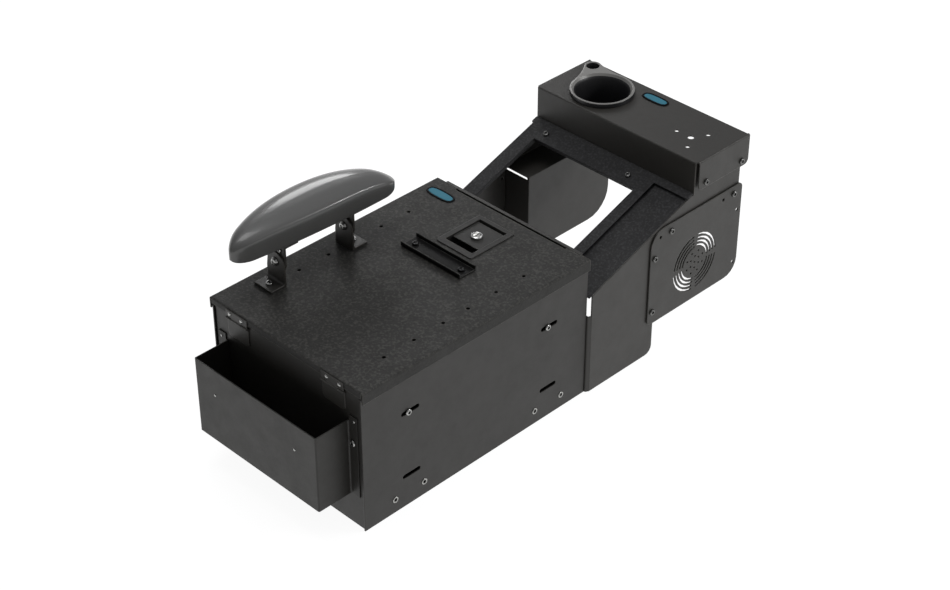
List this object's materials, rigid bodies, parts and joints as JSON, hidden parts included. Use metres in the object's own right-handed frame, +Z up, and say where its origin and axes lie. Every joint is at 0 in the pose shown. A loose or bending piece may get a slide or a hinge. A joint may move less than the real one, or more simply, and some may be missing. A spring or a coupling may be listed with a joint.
{
  "type": "vehicle equipment console",
  "caption": "Sheet-steel vehicle equipment console: lockable storage box with armrest lid, rear bin, sloped equipment frame, and a head with a cup holder.",
  "frame": {"origin": "under the middle of the whole object's bounding box, at floor level", "axes": "+Y forward, from the rear bin towards the head; +X to the console's right, the side with the vent plate; +Z up"},
  "size_m": [0.3112, 0.7738, 0.3205],
  "materials": {
    "box_powder_coat": "fine satin powder coat on sheet steel",
    "textured_powder_coat": "coarse textured powder coat on sheet steel",
    "smooth_powder_coat": "smooth satin powder coat on sheet steel",
    "moulded_plastic": "satin moulded plastic",
    "pad_skin": "satin moulded polyurethane skin",
    "zinc": "bright zinc plating",
    "badge": "plain gloss plate, no marking"
  },
  "bodies": {
    "console": {"bin_screw_left": "zinc", "bin_screw_right": "zinc", "box_floor": "box_powder_coat", "box_front_panel": "box_powder_coat", "box_rear_panel": "box_powder_coat", "box_side_left": "box_powder_coat", "box_side_right": "box_powder_coat", "cap_screw_left_1": "zinc", "cap_screw_left_2": "zinc", "cap_screw_right_1": "zinc", "cap_screw_right_2": "zinc", "cup_holder": "moulded_plastic", "equipment_frame": "textured_powder_coat", "frame_screw_1": "zinc", "frame_screw_2": "zinc", "front_side_left": "smooth_powder_coat", "front_side_right": "smooth_powder_coat", "head_badge": "badge", "head_cap": "smooth_powder_coat", "hinge_leaf_fixed_left": "smooth_powder_coat", "hinge_leaf_fixed_right": "smooth_powder_coat", "hinge_pin_left": "zinc", "hinge_pin_right": "zinc", "left_recess_panel": "smooth_powder_coat", "rear_bin": "smooth_powder_coat", "side_screw_left_1": "zinc", "side_screw_left_2": "zinc", "side_screw_right_1": "zinc", "side_screw_right_2": "zinc", "slope_panel": "textured_powder_coat", "vent_plate_right": "smooth_powder_coat", "vent_plate_screw_1": "zinc", "vent_plate_screw_2": "zinc", "vent_plate_screw_3": "zinc", "vent_plate_screw_4": "zinc"},
    "lid": {"armrest_bracket_lower_front": "smooth_powder_coat", "armrest_bracket_lower_rear": "smooth_powder_coat", "armrest_foot_screw_front": "zinc", "armrest_foot_screw_rear": "zinc", "bolt_guide": "zinc", "hinge_leaf_moving_left": "smooth_powder_coat", "hinge_leaf_moving_right": "smooth_powder_coat", "latch_body": "smooth_powder_coat", "lid_badge": "badge", "lid_panel": "textured_powder_coat", "paddle_pin": "zinc", "pull_channel": "smooth_powder_coat", "pull_screw_left": "zinc", "pull_screw_right": "zinc"},
    "paddle": {"latch_paddle": "smooth_powder_coat"},
    "key": {"key_plug": "zinc"},
    "bolt": {"latch_bolt": "zinc"},
    "armrest": {"armrest_bracket_upper_front": "smooth_powder_coat", "armrest_bracket_upper_rear": "smooth_powder_coat", "armrest_pad": "pad_skin", "armrest_pivot_bolt_front": "zinc", "armrest_pivot_bolt_rear": "zinc", "armrest_stop_screw_front": "zinc", "armrest_stop_screw_rear": "zinc"}
  },
  "joints": [
    {"name": "lid_hinge", "type": "hinge", "parent": "console", "child": "lid", "pos_m": [0.0024, -0.33445, 0.2055], "axis": [1, 0, 0], "range_deg": [0, 100]},
    {"name": "latch_paddle", "type": "hinge", "parent": "lid", "child": "paddle", "pos_m": [0.0024, 0.03105, 0.2166], "axis": [-1, 0, 0], "range_deg": [0, 28], "stiffness_Nm_per_rad": 0.05, "springref_deg": -28.65},
    {"name": "key_lock", "type": "hinge", "parent": "paddle", "child": "key", "pos_m": [0.0024, 0.00445, 0.22], "axis": [0, 0, 1], "range_deg": [0, 90]},
    {"name": "lock_bolt", "type": "slide", "parent": "lid", "child": "bolt", "axis": [0, 1, 0], "range_m": [0, 0.006]},
    {"name": "armrest_tilt", "type": "hinge", "parent": "lid", "child": "armrest", "pos_m": [-0.1055, -0.19205, 0.253], "axis": [0, 1, 0], "range_deg": [-18, 18]}
  ],
  "couplings": [
    {"joint": "key_lock", "follows": "lock_bolt", "rad_per_m": 261.54}
  ]
}
